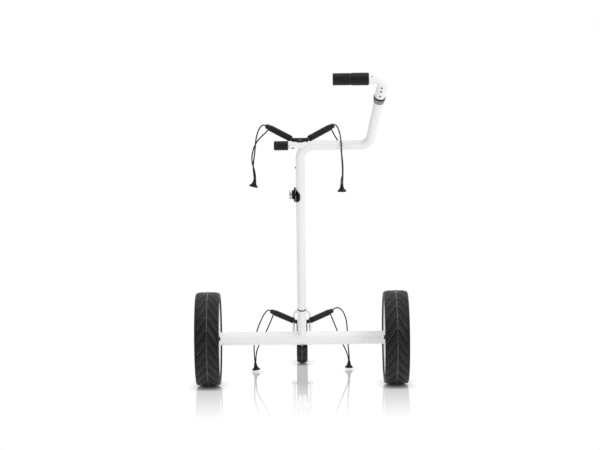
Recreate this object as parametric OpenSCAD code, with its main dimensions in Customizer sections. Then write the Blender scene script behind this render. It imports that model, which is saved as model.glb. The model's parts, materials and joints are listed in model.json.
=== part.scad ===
// Golf push trolley with two large rear wheels, a small front wheel, a leaning mast,
// a cranked handle and two padded bag brackets with elastic cord loops.
// +X is to the user's right, +Y is forward, +Z is up.
// The origin is on the floor under the middle of the rear axle.

/* [Rear wheels] */
// Diameter of the rear tyres over the centre rib
wheel_d = 280; // [260:1:300]
// Width of the rear tyres
tyre_w = 72; // [66:1:76]
// Distance between the middle planes of the rear tyres
track = 554; // [540:2:580]
// Radial thickness of the rear tyres
tyre_t = 18; // [16:1:20]
// Depth of the rim below the tyre's side
rim_recess = 4.5; // [3:0.5:6]
// Number of spokes on each rear rim
spoke_count = 7; // [5:1:9]
// Diameter of the axle stubs that the wheels turn on
stub_shaft_d = 12; // [10:1:14]

/* [Front wheel] */
// Diameter of the front tyre over the centre rib
front_d = 130; // [120:1:135]
// Width of the front tyre
front_w = 34; // [30:1:36]
// Distance from the rear axle to the front axle
wheelbase = 400; // [390:1:410]

/* [Frame] */
// Diameter of the axle tube
axle_d = 39; // [36:1:42]
// Diameter of the mast, the crank tube and the front arm
tube_d = 26; // [25:0.5:28]
// Wall of the tubes
wall = 1.3; // [1.2:0.1:1.5]
// Lean of the mast towards the user, in degrees
mast_lean = 28.6; // [26:0.1:30]
// Height along the mast, from the axle, of the joint ring
ring_s = 107; // [98:1:115]
// Height along the mast of the lower end of the crank tube
sleeve_s = 574.7; // [570:0.1:580]
// Height along the mast of the crossbar's middle line
crossbar_s = 671; // [668:1:680]
// Droop of the front arm, in degrees
arm_droop = 6.2; // [5:0.1:7]

/* [Handle] */
// Centreline radius of the bend into the crossbar
crank_r = 41; // [38:1:44]
// Distance of the second bend to the right of the mast
crossbar_x = 192; // [185:1:200]
// Height of the grip's middle line
grip_z = 915; // [905:1:920]
// Distance of the grip behind the rear axle
grip_y = 446; // [440:1:450]
// Distance of the handle elbow to the right of the mast
elbow_x = 228; // [222:1:232]
// Diameter of the grip's thicker half
grip_d = 34.6; // [33:0.2:38]
// Length of the grip
grip_l = 98; // [90:1:105]

/* [Bag brackets] */
// Width of the straight middle of each bracket
bracket_mid = 38; // [36:1:42]
// Reach of each bracket arm, sideways and forwards
bracket_reach = 73; // [70:1:76]
// Diameter of the bracket rod
rod_d = 11.5; // [10:0.5:12.5]
// Diameter of the foam sleeves
foam_d = 17.5; // [16:0.5:19]
// Diameter of the elastic cords
cord_d = 3.8; // [3.4:0.1:4]

/* [Hidden] */

$fn = 64;
white = [0.93, 0.93, 0.94];
black = [0.07, 0.07, 0.08];
grey = [0.55, 0.56, 0.58];
silver = [0.75, 0.75, 0.77];
slack = 0.3;                 // clearance of sliding parts, on the radius
run = 0.06;                  // clearance of turning parts, on the radius
swell = 0.02;                // how much fatter a tube is in its bends
lap = 0.5;                   // how far a straight length runs into a bend
cut = 1;                     // how far a cutting solid passes a face

axle_z = wheel_d / 2;
tube_r = tube_d / 2;
bore_r = tube_r - wall;
rod_r = rod_d / 2;
stub_r = stub_shaft_d / 2;
axle_end = track / 2 - tyre_w / 2;          // end of the axle tube, from the middle

rim_r = wheel_d / 2 - tyre_t;               // seat of the rear tyre on its rim
rim_half = tyre_w / 2 - rim_recess;         // half of the rim's width
hub_r = 17;                                 // black core of the rear wheel
bearing_r = 14;
bearing_w = 8;
hub_in = -30;                               // hub's inner end, from the wheel's middle
bearing_out = 14;                           // outer bearing's inner face
button_r = 9;                               // push button in the hub
button_depth = 3.5;                         // push button's inner face, from the hub's end

front_r = front_d / 2;
front_rim_r = 50;
fork_x = 26.5;                              // middle of each fork leg
fork_top = 103;                             // height of the fork's crown over the front axle
fork_bend = 18;
leg_r = 4.75;
neck_y = wheelbase - 84;                    // upright stretch of the fork's neck
neck_t = 8;
neck_w = 20;
neck_bend = 28;
arm_z = axle_z - 8;                         // height of the arm's middle line over the rear axle's line
arm_end = neck_y + 2;

ring_h = 4;
mast_top = sleeve_s - 0.3;
knob_s = 508;                               // star knob's height along the mast
knob_z0 = 13.8;                             // back of the star knob, from the mast's middle
knob_z1 = 18.4;                             // front of its lobes
knob_z2 = 24.2;                             // end of its hub
knob_z3 = 32.2;                             // end of the silver insert
button_s = 598.6;                           // spring button's height along the mast
stub_tube_r = 8.5;
stub_end = -66;
cap_end = -73;
cap_start = -33.2;
cap_r = 13.2;

handle_bore = tube_r + slack;
handle_r = handle_bore + wall;
elbow_r = 18;
collar_w0 = 149;                            // lower end of the collar, along the upper tube
collar_w1 = 162;
collar_w2 = 166.5;
crank_end = 184;                            // top end of the crank tube, along the upper tube
latch_w = 177;                              // height button, along the upper tube
latch_r = 2.2;
latch_holes = [0, 16, 28];                  // holes of the handle, above the height button

foam_start = 10;
foam_end = 92;
tip_end = 106;
rod_short = 7;                              // how far the rod stops short of the reach
upper_s = 677;                              // upper bracket's height along the mast
upper_f = 20;                               // upper bracket's distance in front of the mast
lower_y = 175;
lower_z = 164;
lower_tilt = 17.5;

// Unit vectors and corner points of the crank and the handle
mast_dir = [0, -sin(mast_lean), cos(mast_lean)];
corner_a = [0, 0, axle_z] + crossbar_s * mast_dir;
corner_b = corner_a + [crossbar_x, 0, 0];
corner_c = [elbow_x, -grip_y, grip_z];
upper_dir = (corner_c - corner_b) / norm(corner_c - corner_b);
upper_len = norm(corner_c - corner_b);
second_r = 32;

function turn_of(d1, d2) = acos(d1 * d2);
function tangent_of(d1, d2, r) = r * tan(turn_of(d1, d2) / 2);
t_a = tangent_of(mast_dir, [1, 0, 0], crank_r);
t_b = tangent_of([1, 0, 0], upper_dir, second_r);
t_c = tangent_of(upper_dir, [-1, 0, 0], elbow_r);

// ---------- helpers ----------

// Puts children made along +Z at point p, along direction d
module along(p, d) {
    translate(p) rotate([0, acos(d[2]), atan2(d[1], d[0])]) children();
}

// Puts children in the mast's frame: Z along the mast from the axle, Y forward from it
module on_mast(s = 0) {
    translate([0, 0, axle_z]) rotate([mast_lean, 0, 0]) translate([0, 0, s]) children();
}

// Straight solid rod from a to b
module bar(a, b, r) {
    along(a, (b - a) / norm(b - a)) cylinder(r = r, h = norm(b - a));
}

// Round bend of a rod at a corner, turning from direction d1 to direction d2
module bend(corner, d1, d2, bend_r, r) {
    angle = turn_of(d1, d2);
    n = cross(d1, d2) / norm(cross(d1, d2));
    inward = cross(n, d1);
    centre = corner - d1 * bend_r * tan(angle / 2) + inward * bend_r;
    multmatrix([
        [-inward[0], d1[0], n[0], centre[0]],
        [-inward[1], d1[1], n[1], centre[1]],
        [-inward[2], d1[2], n[2], centre[2]],
        [0, 0, 0, 1]
    ]) rotate_extrude(angle = angle) translate([bend_r, 0]) circle(r = r);
}

// Ring along Z
module ring(r_out, r_in, z0, z1) {
    difference() {
        translate([0, 0, z0]) cylinder(r = r_out, h = z1 - z0);
        translate([0, 0, z0 - cut]) cylinder(r = r_in, h = z1 - z0 + 2 * cut);
    }
}

// Puts children made along +Z on the rear axle line, pointing outwards on side s
module at_wheel(s) {
    translate([s * track / 2, 0, axle_z]) rotate([0, s * 90, 0]) children();
}

// Puts children made along +Z on the front axle line
module at_front() {
    translate([0, wheelbase, front_r]) rotate([0, 90, 0]) children();
}

// Puts children in a bracket's own frame: X sideways, Y forward along the arms' plane
module in_upper() {
    on_mast(upper_s) translate([0, upper_f, 0]) children();
}
module in_lower() {
    translate([0, lower_y, lower_z]) rotate([lower_tilt, 0, 0]) children();
}

// ---------- rear wheels ----------

module rear_tyre() {
    side = tyre_w / 2;
    half = [
        [rim_r, side - 4.5], [rim_r + 3, side], [wheel_d / 2 - 9, side],
        [wheel_d / 2 - 5, side - 2.5], [wheel_d / 2 - 3.6, side - 7],
        [wheel_d / 2 - 2, side - 18], [wheel_d / 2 - 1.4, 2.4], [wheel_d / 2, 1.4]
    ];
    other = [for (i = [len(half) - 1:-1:0]) [half[i][0], -half[i][1]]];
    color(black) rotate_extrude($fn = 128) polygon(concat(half, other));
}

module rear_rim() {
    lip = 3;
    color(white) {
        difference() {
            union() {
                ring(rim_r, rim_r - lip, -rim_half, rim_half);
                ring(22, hub_r, hub_in - 1, rim_half - 2);
                translate([0, 0, 8]) linear_extrude(9) difference() {
                    circle(r = rim_r - lip + 0.5);
                    circle(r = hub_r);
                    difference() {
                        circle(r = rim_r - 14);
                        circle(r = 36);
                        for (i = [0:spoke_count - 1])
                            rotate(i * 360 / spoke_count) translate([0, -11]) square([rim_r, 22]);
                    }
                }
            }
        }
    }
}

module rear_hub() {
    color(black) difference() {
        union() {
            translate([0, 0, hub_in]) cylinder(r = hub_r, h = rim_half - hub_in);
            translate([0, 0, rim_half - 2]) cylinder(r = 24, h = 4);
        }
        translate([0, 0, -tyre_w]) cylinder(r = stub_r + 2, h = 2 * tyre_w);
        translate([0, 0, hub_in - cut]) cylinder(r = bearing_r, h = bearing_w + cut);
        translate([0, 0, bearing_out]) cylinder(r = bearing_r, h = bearing_w + 3);
        translate([0, 0, bearing_out + bearing_w + 2.9]) cylinder(r = button_r, h = tyre_w);
    }
}

module rear_bearings() {
    color(silver) {
        ring(bearing_r, stub_r + run, hub_in, hub_in + bearing_w);
        ring(bearing_r, stub_r + run, bearing_out, bearing_out + bearing_w);
    }
}

module release_button() {
    color(grey) translate([0, 0, rim_half - button_depth + 1.2]) {
        cylinder(r = button_r - slack, h = 4.3);
        translate([0, 0, 4.3]) cylinder(r1 = button_r - slack, r2 = button_r - 1.5, h = 1);
    }
}

// ---------- front wheel ----------

module front_tyre() {
    side = front_w / 2;
    half = [
        [front_rim_r, side - 3], [front_rim_r + 2, side], [front_r - 7, side],
        [front_r - 3.5, side - 2.5], [front_r - 1.4, side - 8], [front_r - 0.8, 1.8], [front_r, 1]
    ];
    other = [for (i = [len(half) - 1:-1:0]) [half[i][0], -half[i][1]]];
    color(black) at_front() rotate_extrude($fn = 96) polygon(concat(half, other));
}

module front_rim() {
    color(white) at_front() {
        ring(front_rim_r, front_rim_r - 4, -front_w / 2 + 3, front_w / 2 - 3);
        ring(front_rim_r - 4, 15, -3.5, 3.5);
        ring(15, 11, -front_w / 2 + 1, front_w / 2 - 1);
    }
}

module front_bearings() {
    color(silver) at_front() for (s = [-1, 1]) {
        ring(11, 4 + run, s * (front_w / 2 - 4.5) - 3.5, s * (front_w / 2 - 4.5) + 3.5);
    }
}

module front_axle_bolt() {
    color(grey) at_front() translate([0, 0, -fork_x - 6]) cylinder(r = 4, h = 2 * fork_x + 12);
}

module front_axle_nuts() {
    color(silver) at_front() for (s = [-1, 1]) {
        ring(6.5, 4, s * (fork_x + 4.3) - 1.3, s * (fork_x + 4.3) + 1.3);
        ring(5.6, 4, s * 19.1 - 2.6, s * 19.1 + 2.6);
    }
}

module neck_outline() {
    top_z = front_r + fork_top;
    half = neck_t / 2;
    translate([neck_y - half, 88]) square([neck_t, top_z - neck_bend - 88]);
    translate([neck_y + neck_bend, top_z - neck_bend]) intersection() {
        difference() {
            circle(r = neck_bend + half);
            circle(r = neck_bend - half);
        }
        translate([-50, 0]) square([50, 50]);
    }
    translate([neck_y + neck_bend, top_z - half])
        square([wheelbase - neck_y - neck_bend - leg_r + 1, neck_t]);
}

module fork() {
    eye_z = front_r;
    top_z = front_r + fork_top;
    up = [0, 0, 1];
    color(white) difference() {
        union() {
            for (s = [-1, 1]) {
                bar([s * fork_x, wheelbase, eye_z], [s * fork_x, wheelbase, top_z - fork_bend], leg_r);
                bend([s * fork_x, wheelbase, top_z], up, [-s, 0, 0], fork_bend, leg_r);
                translate([s * fork_x - 3, wheelbase, eye_z]) rotate([0, 90, 0]) cylinder(r = 9.5, h = 6);
            }
            bar([-fork_x + fork_bend, wheelbase, top_z], [fork_x - fork_bend, wheelbase, top_z], leg_r);
            translate([-neck_w / 2, 0, 0]) rotate([90, 0, 90]) linear_extrude(neck_w) neck_outline();
        }
        translate([-fork_x - 20, wheelbase, eye_z]) rotate([0, 90, 0]) cylinder(r = 4, h = 2 * fork_x + 40);
        for (s = [-1, 1]) translate([s * (fork_x + 8) - 5, wheelbase, eye_z]) rotate([0, 90, 0])
            cylinder(r = 11, h = 10);
    }
}

// ---------- frame ----------

module axle_tube() {
    color(white) translate([-axle_end, 0, axle_z]) rotate([0, 90, 0])
        ring(axle_d / 2, axle_d / 2 - 1.8, 0, 2 * axle_end);
}

module axle_end_plugs() {
    color(black) for (s = [-1, 1]) translate([s * axle_end, 0, axle_z]) rotate([0, s * 90, 0])
        ring(axle_d / 2 - 1.8, stub_r, -22, -0.6);
}

module axle_stub_shafts() {
    tip = bearing_out + bearing_w + 2.6;
    start = -tyre_w / 2 - 26;
    color(grey) for (s = [-1, 1]) at_wheel(s) difference() {
        union() {
            translate([0, 0, start]) cylinder(r = stub_r, h = tip - 1 - start);
            translate([0, 0, tip - 1]) cylinder(r1 = stub_r, r2 = stub_r - 1, h = 1);
        }
        ring(stub_r + 2, stub_r - 1.2, bearing_out + bearing_w + 0.3, bearing_out + bearing_w + 1.4);
    }
}

module stub_clips() {
    color(grey) for (s = [-1, 1]) at_wheel(s)
        ring(stub_r + 1.6, stub_r - 1.15, bearing_out + bearing_w + 0.4, bearing_out + bearing_w + 1.3);
}

module axle_envelope(r) {
    translate([-60, 0, axle_z]) rotate([0, 90, 0]) cylinder(r = r, h = 120);
}

module mast_socket() {
    color(white) difference() {
        on_mast() ring(tube_r, bore_r, 8, ring_s);
        axle_envelope(axle_d / 2);
    }
}

module socket_plug() {
    color(silver) difference() {
        on_mast() {
            translate([0, 0, 55]) cylinder(r = bore_r, h = ring_s - 55);
            translate([0, 0, ring_s]) cylinder(r = bore_r - slack, h = 55);
            translate([0, 0, ring_s + 55]) cylinder(r1 = bore_r - slack, r2 = bore_r - 3, h = 4);
        }
        on_mast(50) cylinder(r = bore_r - 2.5, h = 130);
    }
}

module joint_ring() {
    color(black) on_mast() ring(tube_r + 0.4, bore_r - slack, ring_s, ring_s + ring_h);
}

module along_arm() {
    translate([0, 0, arm_z]) rotate([-90 - arm_droop, 0, 0]) children();
}

module front_arm() {
    color(white) difference() {
        along_arm() ring(tube_r, bore_r, -10, arm_end + 12);
        axle_envelope(axle_d / 2);
        on_mast(8) cylinder(r = tube_r, h = 60);
        translate([-30, neck_y - neck_t / 2, 0]) cube([60, 60, 200]);
    }
}

module arm_bolt() {
    color(grey) along_arm() difference() {
        translate([0, tube_r - 2, 295]) rotate([-90, 0, 0]) cylinder(r1 = 5.4, r2 = 3.4, h = 4.6);
        cylinder(r = tube_r, h = 400);
    }
}

// ---------- brackets ----------

module bracket_rod() {
    mid = bracket_mid / 2;
    out = mid + bracket_reach - rod_short;
    color(black) {
        bar([-mid, 0, 0], [mid, 0, 0], rod_r);
        for (s = [-1, 1]) {
            translate([s * mid, 0, 0]) sphere(r = rod_r + slack);
            bar([s * mid, 0, 0], [s * out, bracket_reach - rod_short, 0], rod_r);
        }
    }
}

// Puts children made along +Z on a bracket's arm on side s
module on_arm(s) {
    along([s * bracket_mid / 2, 0, 0], [s * sqrt(0.5), sqrt(0.5), 0]) children();
}

module foam(s) {
    color(black) on_arm(s) ring(foam_d / 2, rod_r + run, foam_start, foam_end);
}

module tip_plugs() {
    rod_end = (bracket_reach - rod_short) * sqrt(2);
    color(black) for (s = [-1, 1]) on_arm(s) difference() {
        union() {
            translate([0, 0, foam_end + 0.3]) cylinder(r = 7.2, h = tip_end - foam_end - 2.3);
            translate([0, 0, tip_end - 2]) cylinder(r1 = 7.2, r2 = 5.2, h = 2);
        }
        translate([0, 0, foam_end - cut]) cylinder(r = rod_r, h = rod_end - foam_end + cut);
    }
}

module upper_saddle() {
    color(black) difference() {
        on_mast(upper_s - 3) rotate([-90, 0, 0]) translate([0, 0, 5]) cylinder(r = 9.2, h = upper_f - 5);
        along(corner_a - [50, 0, 0], [1, 0, 0]) cylinder(r = stub_tube_r, h = 100);
        bend(corner_a, mast_dir, [1, 0, 0], crank_r, tube_r);
        bar(corner_a + [t_a, 0, 0], corner_a + [t_a + 30, 0, 0], tube_r);
        in_upper() translate([-30, 0, 0]) rotate([0, 90, 0]) cylinder(r = rod_r + run, h = 60);
    }
}

module lower_post() {
    color(black) difference() {
        translate([-16.5, lower_y - 9, arm_z - 26]) cube([33, 18, lower_z - arm_z + 26]);
        along_arm() cylinder(r = tube_r, h = 400);
        translate([-tube_r, lower_y - 20, arm_z - 46]) cube([2 * tube_r, 40, 25]);
        in_lower() translate([-30, 0, 0]) rotate([0, 90, 0]) cylinder(r = rod_r + run, h = 60);
    }
}

// ---------- cords ----------

// Each strand runs from the plug at the arm's tip down into the hook
upper_left_over = [
    [-92, -242, 779], [-98, -237, 782], [-105, -232, 782], [-112, -229, 776], [-118, -227, 764],
    [-123, -226, 748], [-126, -226, 728], [-128, -226, 706], [-131, -227, 684], [-133, -227, 662],
    [-131, -227, 641], [-130, -227, 621]
];
upper_left_under = [
    [-87, -243, 773], [-93, -239, 765], [-101, -235, 757], [-110, -232, 749], [-118, -231, 740],
    [-126, -231, 728], [-132, -231, 713], [-136, -231, 694], [-135, -231, 674], [-130, -231, 656],
    [-127, -231, 638], [-128, -231, 621]
];
upper_right_over = [
    [90.5, -243.5, 778.3], [96.8, -249.5, 782.7], [101.6, -257.9, 781.1], [104.6, -266.6, 777.1],
    [106.8, -275.3, 772.8], [108.5, -284.1, 768.4], [109.9, -293, 764.1], [111, -301.8, 759.6],
    [111.8, -310.7, 755.2], [112.5, -319.5, 750.6], [113.1, -327.6, 744.9], [113.6, -334.5, 737.7],
    [113.9, -339.8, 729.3], [114.1, -342.6, 719.7], [114.4, -342.5, 709.8], [114.9, -341.1, 699.9],
    [115.6, -338.8, 690.2], [116.2, -336.3, 680.6], [116.8, -333.5, 671.1], [117.1, -330.6, 661.5],
    [117, -327.7, 652], [116.3, -324.6, 642.6], [113.6, -321.6, 633.3], [113, -320.4, 623.6],
    [113, -319.8, 613.6]
];
upper_right_under = [
    [87, -243, 773], [91.5, -250, 763], [97, -259, 753], [103, -270, 743], [108.5, -282, 733],
    [112.5, -293, 721], [115, -302, 707], [116.8, -309, 692], [118, -314, 676], [118.4, -317.5, 660],
    [118, -319.4, 645], [117.4, -319.9, 630], [117, -319.8, 613.6]
];
lower_left_over = [
    [-92, 245, 186], [-98, 250, 189], [-105, 254, 188], [-113, 256, 180], [-121, 257, 167],
    [-129, 256, 150], [-136, 255, 132], [-142, 253, 112], [-147, 250, 90], [-148, 248, 68],
    [-147, 247, 44], [-145, 246.4, 19]
];
lower_left_under = [
    [-87, 241, 179], [-91, 244, 168], [-96, 247, 155], [-102, 249, 141], [-109, 250, 126],
    [-117, 250, 110], [-125, 249, 95], [-133, 246, 81], [-139, 244, 66], [-142, 243, 50],
    [-143, 242, 34], [-144, 242, 19]
];
lower_right_over = [
    [92, 245, 186], [98, 250, 191], [106, 256, 194], [115, 262, 192], [124, 267, 184],
    [131, 270, 172], [136, 272, 156], [139, 273, 136], [140, 273, 112], [141, 273, 88],
    [143, 273, 62], [145, 273, 40], [145, 272.4, 19]
];
lower_right_under = [
    [87, 241, 179], [92, 246, 166], [98, 252, 150], [104, 258, 134], [110, 263, 118],
    [116, 266, 102], [122, 268, 87], [129, 269, 72], [136, 269, 56], [141, 268, 41],
    [144, 268, 19]
];

function unit(v) = v / norm(v);
function heading(p, i) = unit(p[min(i + 1, len(p) - 1)] - p[max(i - 1, 0)]);
// Sideways vector of a ring, carried along the route so that the tube never twists
function carried(p, i) = i == 0
    ? unit(cross(heading(p, 0), [0, 0.6, 0.8]))
    : let (d = heading(p, i), v = carried(p, i - 1)) unit(v - (v * d) * d);

// Tube of n sides along a route
module cord(p, n = 8) {
    last = len(p) - 1;
    rings = [for (i = [0:last]) let (d = heading(p, i), v = carried(p, i), w = cross(d, v))
        for (k = [0:n - 1]) p[i] + cord_d / 2 * (cos(k * 360 / n) * v + sin(k * 360 / n) * w)];
    sides = [for (i = [0:last - 1], k = [0:n - 1], h = [0, 1]) let (m = (k + 1) % n)
        h == 0 ? [i * n + k, (i + 1) * n + k, i * n + m] : [i * n + m, (i + 1) * n + k, (i + 1) * n + m]];
    ends = [[for (k = [0:n - 1]) k], [for (k = [n - 1:-1:0]) last * n + k]];
    color(black) polyhedron(rings, concat(sides, ends), convexity = 4);
}

// Flared hook with its base below point p and its neck above it
module hook(p, tilt = 0) {
    color(black) translate(p) rotate([0, tilt, 0]) hull() {
        translate([0, 0, -3]) cylinder(r = 4.6, h = 7, $fn = 24);
        translate([0, 0, -16]) scale([1, 0.62, 1]) cylinder(r = 13, h = 3, $fn = 32);
        translate([0, 0, -18]) scale([1, 0.62, 1]) cylinder(r = 10.5, h = 2, $fn = 32);
    }
}

// ---------- mast ----------

module mast_tube() {
    color(white) difference() {
        on_mast() ring(tube_r, bore_r, ring_s + ring_h + 0.3, mast_top);
        on_knob() translate([0, 0, 8]) cylinder(r = 4.2, h = 20);
    }
}

// Puts children made along +Z on the star knob's axis, which points straight to the left
module on_knob() {
    on_mast(knob_s) rotate([0, -90, 0]) children();
}

module knob_saddle() {
    color(black) difference() {
        intersection() {
            on_knob() rotate([90, 0, 0]) linear_extrude(60, center = true) polygon([
                [-9, 1.6], [-19.5, 10.5], [-19.5, 13.4], [19.5, 13.4], [19.5, 10.5], [9, 1.6]
            ]);
            on_mast(knob_s - 30) cylinder(r = tube_r + 2.6, h = 60);
        }
        on_mast(knob_s - 30) cylinder(r = tube_r, h = 60);
        on_knob() cylinder(r = 4.2, h = 20);
    }
}

module star_knob() {
    lobes = 7;
    color(black) on_knob() difference() {
        union() {
            translate([0, 0, knob_z0]) linear_extrude(knob_z1 - knob_z0) difference() {
                circle(r = 21);
                for (i = [0:lobes - 1]) rotate((i + 0.5) * 360 / lobes) translate([24.5, 0]) circle(r = 7.5);
            }
            translate([0, 0, knob_z1]) cylinder(r1 = 12.8, r2 = 12.2, h = knob_z2 - knob_z1);
        }
        translate([0, 0, 10]) cylinder(r = 3.9 + run, h = 8.1);
        translate([0, 0, 17]) cylinder(r = 9 + run, h = 20);
    }
}

module knob_insert() {
    color(silver) on_knob() difference() {
        union() {
            translate([0, 0, bore_r + 0.4]) cylinder(r = 3.9, h = 6);
            translate([0, 0, 17.1]) cylinder(r = 9, h = knob_z2 - 16.9);
            translate([0, 0, knob_z2 + 0.1]) cylinder(r = 13, h = knob_z3 - knob_z2 - 0.9);
            translate([0, 0, knob_z3 - 0.8]) cylinder(r1 = 13, r2 = 12.2, h = 0.8);
        }
        translate([0, 0, knob_z3 - 12]) cylinder(r = 4, h = 20);
        translate([0, 0, 28.5]) rotate([0, 90, -90]) translate([0, 0, 10]) cylinder(r = 1.5, h = 6);
    }
}

// ---------- crank ----------

module crank_path(r, from_s, to_w) {
    bar([0, 0, axle_z] + from_s * mast_dir, corner_a - (t_a - lap) * mast_dir, r);
    bend(corner_a, mast_dir, [1, 0, 0], crank_r, r + swell);
    bar(corner_a + [t_a - lap, 0, 0], corner_b - [t_b - lap, 0, 0], r);
    bend(corner_b, [1, 0, 0], upper_dir, second_r, r + swell);
    bar(corner_b + (t_b - lap) * upper_dir, corner_b + to_w * upper_dir, r);
}

module crank_tube() {
    color(white) difference() {
        crank_path(tube_r, sleeve_s, crank_end);
        crank_path(bore_r, sleeve_s - cut, crank_end + cut);
        on_mast(button_s) rotate([0, -90, 0]) translate([0, 0, 5]) cylinder(r = 3.3, h = 20);
        on_latch(latch_w) translate([0, 0, 5]) cylinder(r = latch_r + slack, h = 20);
    }
}

module slide_tube() {
    color(silver) difference() {
        on_mast() {
            ring(bore_r - slack, bore_r - 2, 470, 585);
            ring(bore_r, bore_r - 2, 585, 627);
        }
        on_mast(button_s) rotate([0, -90, 0]) translate([0, 0, 5]) cylinder(r = 3.3, h = 20);
    }
}

module sleeve_button() {
    color(grey) on_mast(button_s) rotate([0, -90, 0]) {
        translate([0, 0, 7.6]) cylinder(r = 2.95, h = 6.6);
        translate([0, 0, 14.2]) cylinder(r1 = 2.95, r2 = 1.8, h = 0.9);
    }
}

module stub_tube() {
    color(white) difference() {
        along(corner_a + [20, 0, 0], [-1, 0, 0]) ring(stub_tube_r, stub_tube_r - 1.5, 0, 20 - stub_end);
        bend(corner_a, mast_dir, [1, 0, 0], crank_r, tube_r);
        bar(corner_a + [t_a, 0, 0], corner_a + [t_a + 40, 0, 0], tube_r);
        on_mast(500) cylinder(r = tube_r, h = crossbar_s - 500 - t_a);
    }
}

module stub_screw() {
    color(grey) translate(corner_a + [-20, 0, 0]) rotate([180 - 35, 0, 0]) difference() {
        translate([0, 0, stub_tube_r - 1]) cylinder(r1 = 3.2, r2 = 2.2, h = 2.5);
        translate([-10, 0, 0]) rotate([0, 90, 0]) cylinder(r = stub_tube_r, h = 20);
    }
}

module stub_cap() {
    ribs = 4;
    color(black) along(corner_a + [cap_start, 0, 0], [-1, 0, 0]) difference() {
        union() {
            cylinder(r = cap_r - 0.8, h = cap_start - cap_end - 1.5);
            for (i = [0:ribs - 1]) translate([0, 0, 1 + i * 10]) cylinder(r = cap_r, h = 7);
            translate([0, 0, cap_start - cap_end - 1.5])
                cylinder(r1 = cap_r - 0.8, r2 = cap_r - 2.5, h = 1.5);
        }
        translate([0, 0, -cut]) cylinder(r = stub_tube_r + slack, h = cap_start - stub_end + 2 + cut);
    }
}

// ---------- handle ----------

// Puts children on the user's side of the upper tube: Z out of it, X up along it
module on_latch(w) {
    u = upper_dir;
    d = unit([0, -1, 0] + u[1] * u);
    side = cross(d, u);
    p = corner_b + w * u;
    multmatrix([
        [u[0], side[0], d[0], p[0]],
        [u[1], side[1], d[1], p[1]],
        [u[2], side[2], d[2], p[2]],
        [0, 0, 0, 1]
    ]) children();
}

module height_button() {
    color(grey) on_latch(latch_w) {
        translate([0, 0, 8]) cylinder(r = latch_r, h = tube_r - 9);
        translate([0, 0, tube_r - 1]) cylinder(r1 = latch_r, r2 = latch_r - 0.8, h = 1);
    }
}

module handle_path(r, from_w, to_x) {
    bar(corner_b + from_w * upper_dir, corner_c - (t_c - lap) * upper_dir, r);
    bend(corner_c, upper_dir, [-1, 0, 0], elbow_r, r + swell);
    bar(corner_c - [t_c - lap, 0, 0], [to_x, corner_c[1], corner_c[2]], r);
}

grip_right = 188;
grip_left = grip_right - grip_l;
grip_mid = grip_left + 48.5;

module handle_tube() {
    color(white) difference() {
        handle_path(handle_r, collar_w1 + 1.3, grip_left + 3);
        handle_path(handle_bore, collar_w1 - cut, grip_left + 2);
        for (h = latch_holes) on_latch(latch_w + h) translate([0, 0, 5]) cylinder(r = 2.8, h = 20);
    }
}

module grip_inner() {
    l = grip_right - grip_mid;
    r = grip_d / 2;
    color(black) along([grip_mid, corner_c[1], corner_c[2]], [1, 0, 0]) difference() {
        union() {
            cylinder(r1 = r - 1.2, r2 = r, h = 2);
            translate([0, 0, 2]) cylinder(r = r, h = l - 4);
            translate([0, 0, l - 2]) cylinder(r1 = r, r2 = r - 1.6, h = 2);
        }
        translate([0, 0, -cut]) cylinder(r = handle_r + run, h = l + 2 * cut);
    }
}

module grip_outer() {
    l = grip_mid - grip_left;
    r = grip_d / 2 - 0.7;
    color(black) along([grip_mid, corner_c[1], corner_c[2]], [-1, 0, 0]) difference() {
        union() {
            cylinder(r1 = r - 1.2, r2 = r, h = 2);
            translate([0, 0, 2]) cylinder(r = r, h = l - 4);
            translate([0, 0, l - 2]) cylinder(r1 = r, r2 = r - 1.6, h = 2);
        }
        translate([0, 0, -cut]) cylinder(r = handle_r + run, h = l - 2.98 + cut);
    }
}

module handle_screw() {
    color(grey) translate([196.5, corner_c[1], corner_c[2]]) rotate([62, 0, 0]) difference() {
        translate([0, 0, handle_r - 1]) cylinder(r1 = 3.4, r2 = 2, h = 2.4);
        translate([-10, 0, 0]) rotate([0, 90, 0]) cylinder(r = handle_r, h = 20);
    }
}

module collar_nut() {
    color(grey) along(corner_b + collar_w0 * upper_dir, upper_dir) difference() {
        union() {
            cylinder(r1 = tube_r + 1.6, r2 = 16, h = collar_w1 - collar_w0 - 3);
            translate([0, 0, collar_w1 - collar_w0 - 3]) cylinder(r = 16, h = 3);
        }
        translate([0, 0, -cut]) cylinder(r = tube_r + slack, h = 30);
    }
}

module collar_ring() {
    color(black) along(corner_b + collar_w1 * upper_dir, upper_dir) difference() {
        cylinder(r = 16.5, h = collar_w2 - collar_w1);
        translate([0, 0, -cut]) cylinder(r = tube_r + slack, h = 30);
        translate([0, 0, 1]) cylinder(r = handle_r + run, h = 30);
    }
}

axle_tube();
axle_end_plugs();
axle_stub_shafts();
stub_clips();
mast_socket();
socket_plug();
joint_ring();
front_arm();
arm_bolt();
fork();
front_axle_bolt();
front_axle_nuts();
lower_post();
in_lower() bracket_rod();  // lower_bracket
in_lower() foam(-1);  // lower_sleeve_left
in_lower() foam(1);  // lower_sleeve_right
in_lower() tip_plugs();  // lower_tip_plugs
union() {  // cord_lower_left
    cord(lower_left_over);
    cord(lower_left_under);
}
union() {  // cord_lower_right
    cord(lower_right_over);
    cord(lower_right_under);
}
hook([-144.5, 244.2, 22], -8);  // hook_lower_left
hook([144.5, 270.2, 22], 2);  // hook_lower_right
at_wheel(-1) rear_tyre();  // rear_tyre_left
at_wheel(1) rear_tyre();  // rear_tyre_right
at_wheel(-1) rear_rim();  // rear_rim_left
at_wheel(1) rear_rim();  // rear_rim_right
at_wheel(-1) rear_hub();  // rear_hub_left
at_wheel(1) rear_hub();  // rear_hub_right
at_wheel(-1) rear_bearings();  // rear_bearings_left
at_wheel(1) rear_bearings();  // rear_bearings_right
at_wheel(-1) release_button();  // release_button_left
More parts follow.
